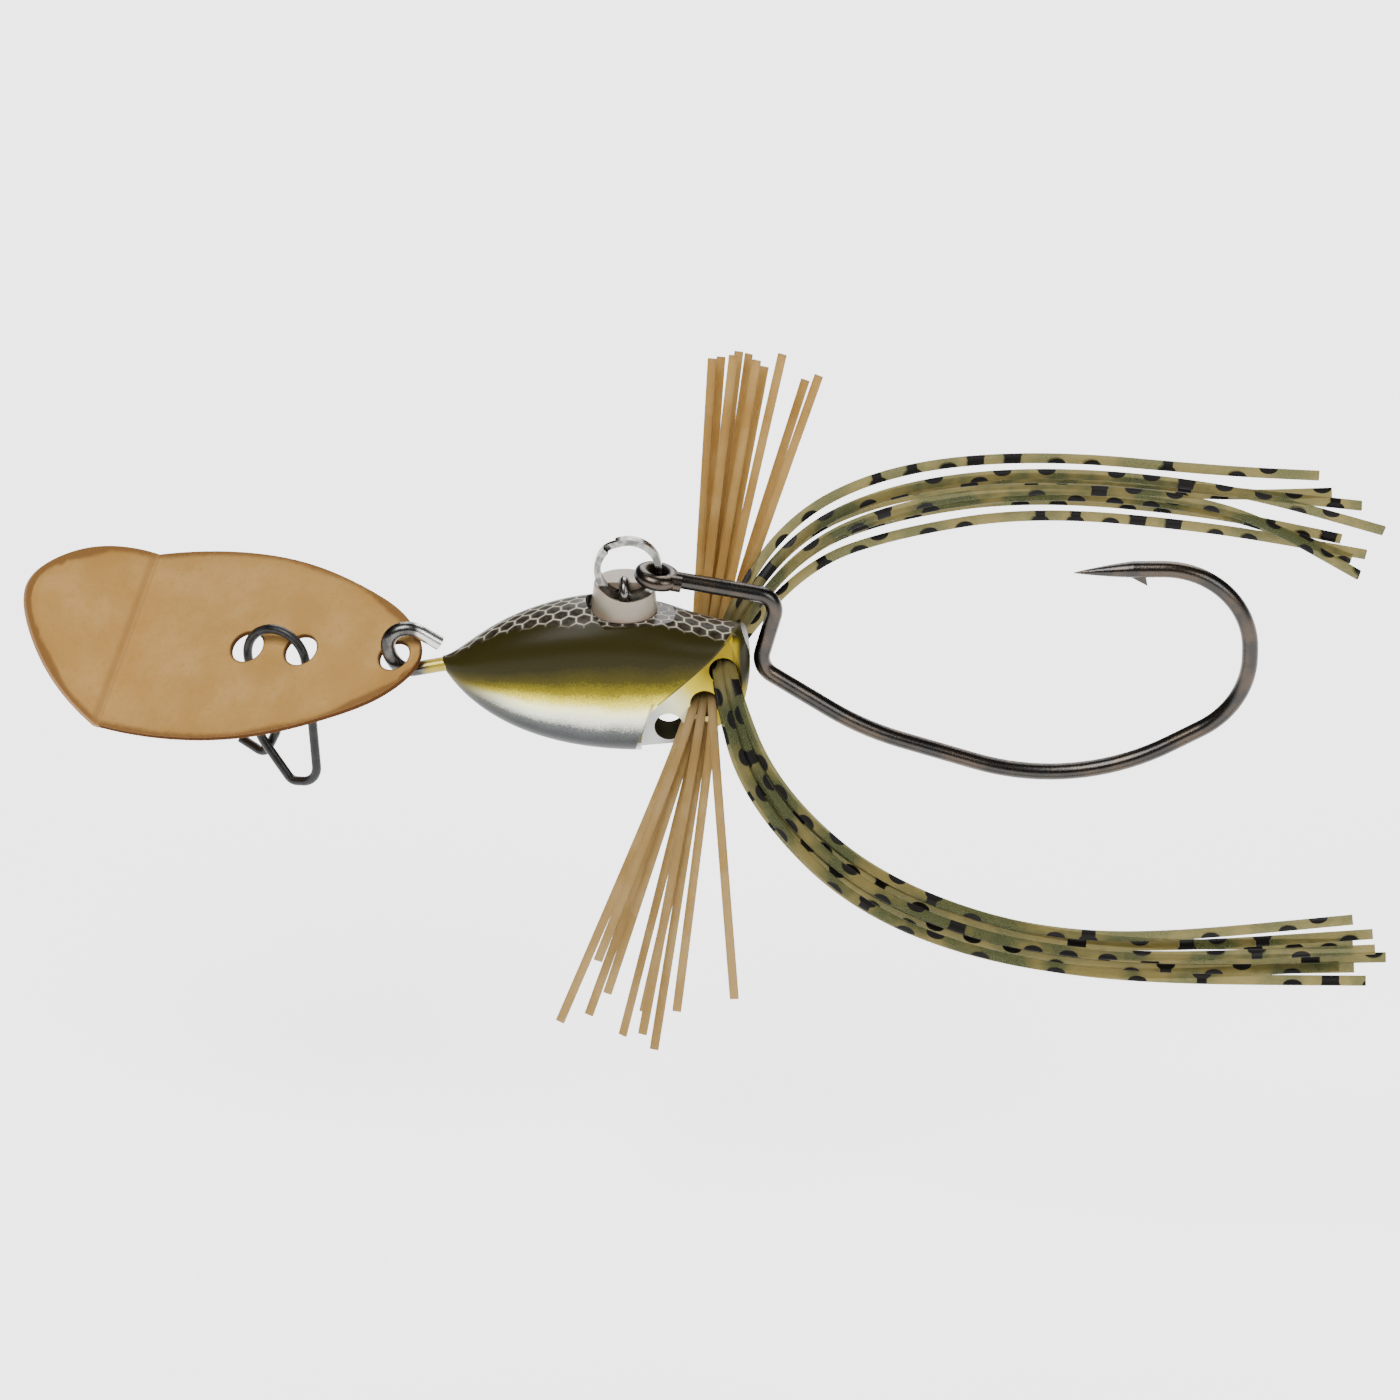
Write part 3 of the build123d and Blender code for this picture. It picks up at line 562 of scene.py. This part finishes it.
def stopper_material():
    """Milky clear rubber, faintly green halfway up."""
    n = Nodes("clear_rubber")
    spot, _, _, z = n.position()
    cloud = n.noise(0.5, vector=spot)
    colour = n.mix(n.smooth(cloud, 0.35, 0.7), (0.27, 0.20, 0.145), (0.30, 0.235, 0.18))
    from_middle = n.math("ABSOLUTE", n.math("SUBTRACT", z, STOPPER_MIDDLE_Z))
    band = n.math("SUBTRACT", 1.0, n.smooth(from_middle, 0.2, 1.3))
    colour = n.mix(n.math("MULTIPLY", band, 0.6), colour, (0.22, 0.22, 0.165))
    return n.finish(n.principled(
        Base_Color=colour, Roughness=n.math("MULTIPLY_ADD", cloud, 0.1, 0.3), IOR=1.45,
        Transmission_Weight=0.1, Subsurface_Weight=0.6,
        Subsurface_Radius=(0.002, 0.0014, 0.001),
    ))


def strand_material(name, barred):
    """Translucent silicone strip. U runs along the strip in millimetres, V across it."""
    n = Nodes(name)
    place = n.tree.nodes.new("ShaderNodeSeparateXYZ")
    n.put(place.inputs[0], n.node("TexCoord", out=2))
    along, across = place.outputs[0], place.outputs[1]
    spot, _, y, _ = n.position()
    fleck = n.noise(7.5, detail=3.0, roughness=0.7, vector=spot)
    cloud = n.noise(0.22, vector=spot)
    if barred:
        colour = n.mix(n.smooth(cloud, 0.38, 0.6), (0.20, 0.165, 0.06), (0.075, 0.085, 0.037))
        colour = n.mix(n.smooth(fleck, 0.66, 0.85), colour, (0.09, 0.075, 0.025))
        printed = n.spots(along, across)
        colour = n.mix(printed, colour, (0.010, 0.009, 0.008))
        see_through = n.math("MULTIPLY_ADD", printed, -0.24, 0.24)
    else:
        # painted light: the far strands, which rise above the head, get a lit tan and the near ones,
        # which hang below, a shaded tan
        lit_tan = n.mix(n.smooth(cloud, 0.35, 0.65), (0.36, 0.205, 0.055), (0.42, 0.27, 0.09))
        shaded_tan = n.mix(n.smooth(cloud, 0.35, 0.65), (0.32, 0.205, 0.07), (0.38, 0.26, 0.11))
        colour = n.mix(n.smooth(y, 1.0, -1.0), lit_tan, shaded_tan)
        colour = n.mix(n.smooth(fleck, 0.62, 0.76), colour, (0.19, 0.11, 0.03))
        see_through = 0.1
    skin = n.principled(
        Base_Color=colour, Roughness=n.math("MULTIPLY_ADD", fleck, 0.2, 0.3), IOR=1.42,
        Specular_IOR_Level=0.2, Normal=n.bump(fleck, 0.012, 0.4),
    )
    lit_through = n.node("BsdfTranslucent", Color=colour)
    clear = n.node("BsdfTransparent", Color=rgba((0.86, 0.80, 0.55)))
    return n.finish(n.blend(see_through, n.blend(0.45, skin, lit_through), clear))


# ================= skirt strands =================
def turned(vector, old_run, new_run):
    """The vector after the smallest turn that takes one direction to the other."""
    return old_run.rotation_difference(new_run) @ vector


def half_strand(route, tip, column, row):
    """Corners of half a strand from the middle of its cross hole to its tip."""
    centres = [Vector(spot[:3]) for spot in route]
    place = Vector((column, 0, row))
    points = []
    for before, here, after, corner in zip(centres, centres[1:], centres[2:], route[1:]):
        run_in = (here - before).normalized()
        run_out = (after - here).normalized()
        halving = (run_in + run_out).normalized()
        shift = (place - run_in * (place.dot(halving) / run_in.dot(halving))) * corner[3]
        points.append(here + shift)
        place = turned(place, run_in, run_out)
    return points + [Vector(tip)]


def soft_line(points):
    """The route with its corners cut again and again, its two ends kept."""
    for _ in range(CORNER_ROUNDS):
        cut = []
        for first, second in zip(points, points[1:]):
            cut.append(first.lerp(second, 0.25))
            cut.append(first.lerp(second, 0.75))
        points = [points[0]] + cut[1:-1] + [points[-1]]
    return points


def even_line(points):
    """The same line with its points a step apart. Its own end is kept unless it is very near."""
    even = [points[0]]
    left = STRIP_STEP
    for first, second in zip(points, points[1:]):
        run = (second - first).length
        done = 0.0
        while run - done >= left:
            done += left
            even.append(first.lerp(second, done / run))
            left = STRIP_STEP
        left -= run - done
    shortest = STRIP_STEP * 0.3
    if (points[-1] - even[-1]).length > shortest:
        even.append(points[-1])
    return even


# section of a strip: half width and half thickness as parts of the whole, edges rounded
STRIP_SECTION = [(-0.5, -0.28), (-0.42, -0.5), (0.42, -0.5), (0.5, -0.28),
                 (0.5, 0.28), (0.42, 0.5), (-0.42, 0.5), (-0.5, 0.28)]


def strip(name, line, width, thickness, seed):
    """A flat soft strip along a line in millimetres, broad side mostly to the front."""
    rng = random.Random(seed)
    lean = [rng.uniform(-0.5, 0.5) for _ in range(3)]
    verts = []
    measure = []
    travelled = 0.0
    for index, here in enumerate(line):
        before = line[max(index - 1, 0)]
        after = line[min(index + 1, len(line) - 1)]
        run = (after - before).normalized()
        part = index / (len(line) - 1)
        wave = math.sin(TWIST_HALF_WAVES * math.pi * part + lean[1] * 6)
        tilt = lean[0] * wave + lean[2] * 0.5
        flat = run.cross(FACING).normalized()
        up = flat.cross(run).normalized()
        broad = flat * math.cos(tilt) + up * math.sin(tilt)
        thin = broad.cross(run).normalized()
        for half_width, half_thickness in STRIP_SECTION:
            offset = broad * (half_width * width) + thin * (half_thickness * thickness)
            verts.append((here + offset) * MM)
        travelled += (here - before).length
        measure.append(travelled)
    count = len(STRIP_SECTION)
    faces = []
    coords = []
    shift = rng.uniform(0, PRINT_SHIFT)
    for ring in range(len(line) - 1):
        for side in range(count):
            following = (side + 1) % count
            faces.append((ring * count + side, ring * count + following,
                          (ring + 1) * count + following, (ring + 1) * count + side))
            v_here = STRIP_SECTION[side][0] + 0.5
            v_next = STRIP_SECTION[following][0] + 0.5
            u_here = measure[ring] + shift
            u_next = measure[ring + 1] + shift
            coords += [(u_here, v_here), (u_here, v_next), (u_next, v_next), (u_next, v_here)]
    last = (len(line) - 1) * count
    faces.append(tuple(reversed(range(count))))
    faces.append(tuple(range(last, last + count)))
    coords += [(measure[0] + shift, 0.5)] * count
    coords += [(measure[-1] + shift, 0.5)] * count
    mesh = bpy.data.meshes.new(name)
    mesh.from_pydata(verts, [], faces)
    layer = mesh.uv_layers.new(name="strip")
    for loop, coord in zip(layer.data, coords):
        loop.uv = coord
    for polygon in mesh.polygons:
        polygon.use_smooth = len(polygon.vertices) == 4
    mesh.update()
    piece = bpy.data.objects.new(name, mesh)
    bpy.context.scene.collection.objects.link(piece)
    return piece


def make_strips(kind, lattice, far_half, near_half, width, thickness, slot, barred):
    """One strip for each strand of the frame. A half is a route and the strands' own tips."""
    far_route, far_tips = far_half
    near_route, near_tips = near_half
    rubber = strand_material(slot, barred)
    for index, (column, row) in enumerate(lattice):
        far = half_strand(far_route, far_tips[index], column, row)
        near = half_strand(near_route, near_tips[index], column, row)
        line = even_line(soft_line(far[::-1] + near))
        node = f"{kind}_{index + 1:02d}"
        piece = strip(f"{kind}_strip_{index + 1:02d}", line, width, thickness, node)
        piece.data.materials.append(rubber)
        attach(piece, "head")
        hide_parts(node)


make_strips("tan_strand", TAN_LATTICE, (TAN_FAR_ROUTE, TAN_FAR_TIPS),
            (TAN_NEAR_ROUTE, TAN_NEAR_TIPS), TAN_WIDTH, TAN_THICKNESS, "tan_rubber", False)
make_strips("olive_strand", OLIVE_LATTICE, (OLIVE_FAR_ROUTE, OLIVE_FAR_TIPS),
            (OLIVE_NEAR_ROUTE, OLIVE_NEAR_TIPS), OLIVE_WIDTH, OLIVE_THICKNESS,
            "barred_rubber", True)


# ================= rigid pieces =================
def dress(node, material):
    """Gives a CAD node its material."""
    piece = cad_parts[node]
    piece.data.materials.clear()
    piece.data.materials.append(material)


steel = wire_material("hanger_wire", (0.07, 0.067, 0.063), (0.17, 0.16, 0.15), 0.25)
nickel = wire_material("ring_nickel", (0.09, 0.088, 0.083), (0.24, 0.235, 0.22), 0.16)
black = wire_material("snap_wire", (0.004, 0.004, 0.0045), (0.011, 0.011, 0.011), 0.38,
                      metallic=0.0)
dress("head", head_material())
dress("front_eye_wire", eye_wire_material())
dress("hook_hanger", steel)
dress("split_ring", nickel)
dress("hook", hook_material())
dress("blade", brass_material())
dress("line_tie_snap", black)
dress("stopper", stopper_material())


# ================= studio =================
def floor_material():
    """Pale floor that glows a little, so that it shows almost white."""
    n = Nodes("floor")
    return n.finish(n.principled(
        Base_Color=(0.6, 0.6, 0.6), Roughness=0.8,
        Emission_Color=(1.0, 1.0, 1.0), Emission_Strength=2.4,
    ))


def studio():
    """Floor, world and three soft lights."""
    lo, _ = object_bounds()
    bpy.ops.mesh.primitive_plane_add(size=FLOOR_SIZE, location=(0, 0, lo.z - FLOOR_DROP))
    floor = bpy.context.object
    floor.name = "floor"
    floor.data.materials.append(floor_material())
    floor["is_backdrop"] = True
    world = bpy.data.worlds.new("studio")
    bpy.context.scene.world = world
    world.use_nodes = True
    tree = world.node_tree
    # white all round, with the dark room behind the camera
    coords = tree.nodes.new("ShaderNodeTexCoord")
    toward = tree.nodes.new("ShaderNodeVectorMath")
    toward.operation = "DOT_PRODUCT"
    toward.inputs[1].default_value = DARK_SIDE
    tree.links.new(coords.outputs["Generated"], toward.inputs[0])
    ramp = tree.nodes.new("ShaderNodeMapRange")
    ramp.interpolation_type = "SMOOTHSTEP"
    tree.links.new(toward.outputs["Value"], ramp.inputs[0])
    for socket, number in zip(list(ramp.inputs)[1:5], DARK_EDGES + WORLD_STRENGTHS):
        socket.default_value = number
    tree.links.new(ramp.outputs[0], tree.nodes["Background"].inputs["Strength"])
    centre = Vector(VIEW_CENTRE) * MM
    for name, spot, size, power in LIGHTS:
        light = bpy.data.lights.new(name, "AREA")
        light.size = size
        light.energy = power
        lamp = bpy.data.objects.new(name, light)
        lamp.location = centre + Vector(spot)
        lamp.rotation_mode = "QUATERNION"
        lamp.rotation_quaternion = (-Vector(spot)).to_track_quat("-Z", "Y")
        bpy.context.scene.collection.objects.link(lamp)


def camera():
    """Long lens in front and above, looking at the lure's middle."""
    data = bpy.data.cameras.new("camera")
    data.lens = CAMERA_LENS
    data.sensor_width = CAMERA_SENSOR
    distance = VIEW_WIDTH * MM * CAMERA_LENS / CAMERA_SENSOR
    seat = bpy.data.objects.new("camera", data)
    seat.location = Vector(VIEW_CENTRE) * MM + FACING * distance
    seat.rotation_mode = "QUATERNION"
    seat.rotation_quaternion = (-FACING).to_track_quat("-Z", "Y")
    data.clip_start = 0.1
    data.clip_end = 20
    bpy.context.scene.collection.objects.link(seat)
    bpy.context.scene.camera = seat


studio()
camera()
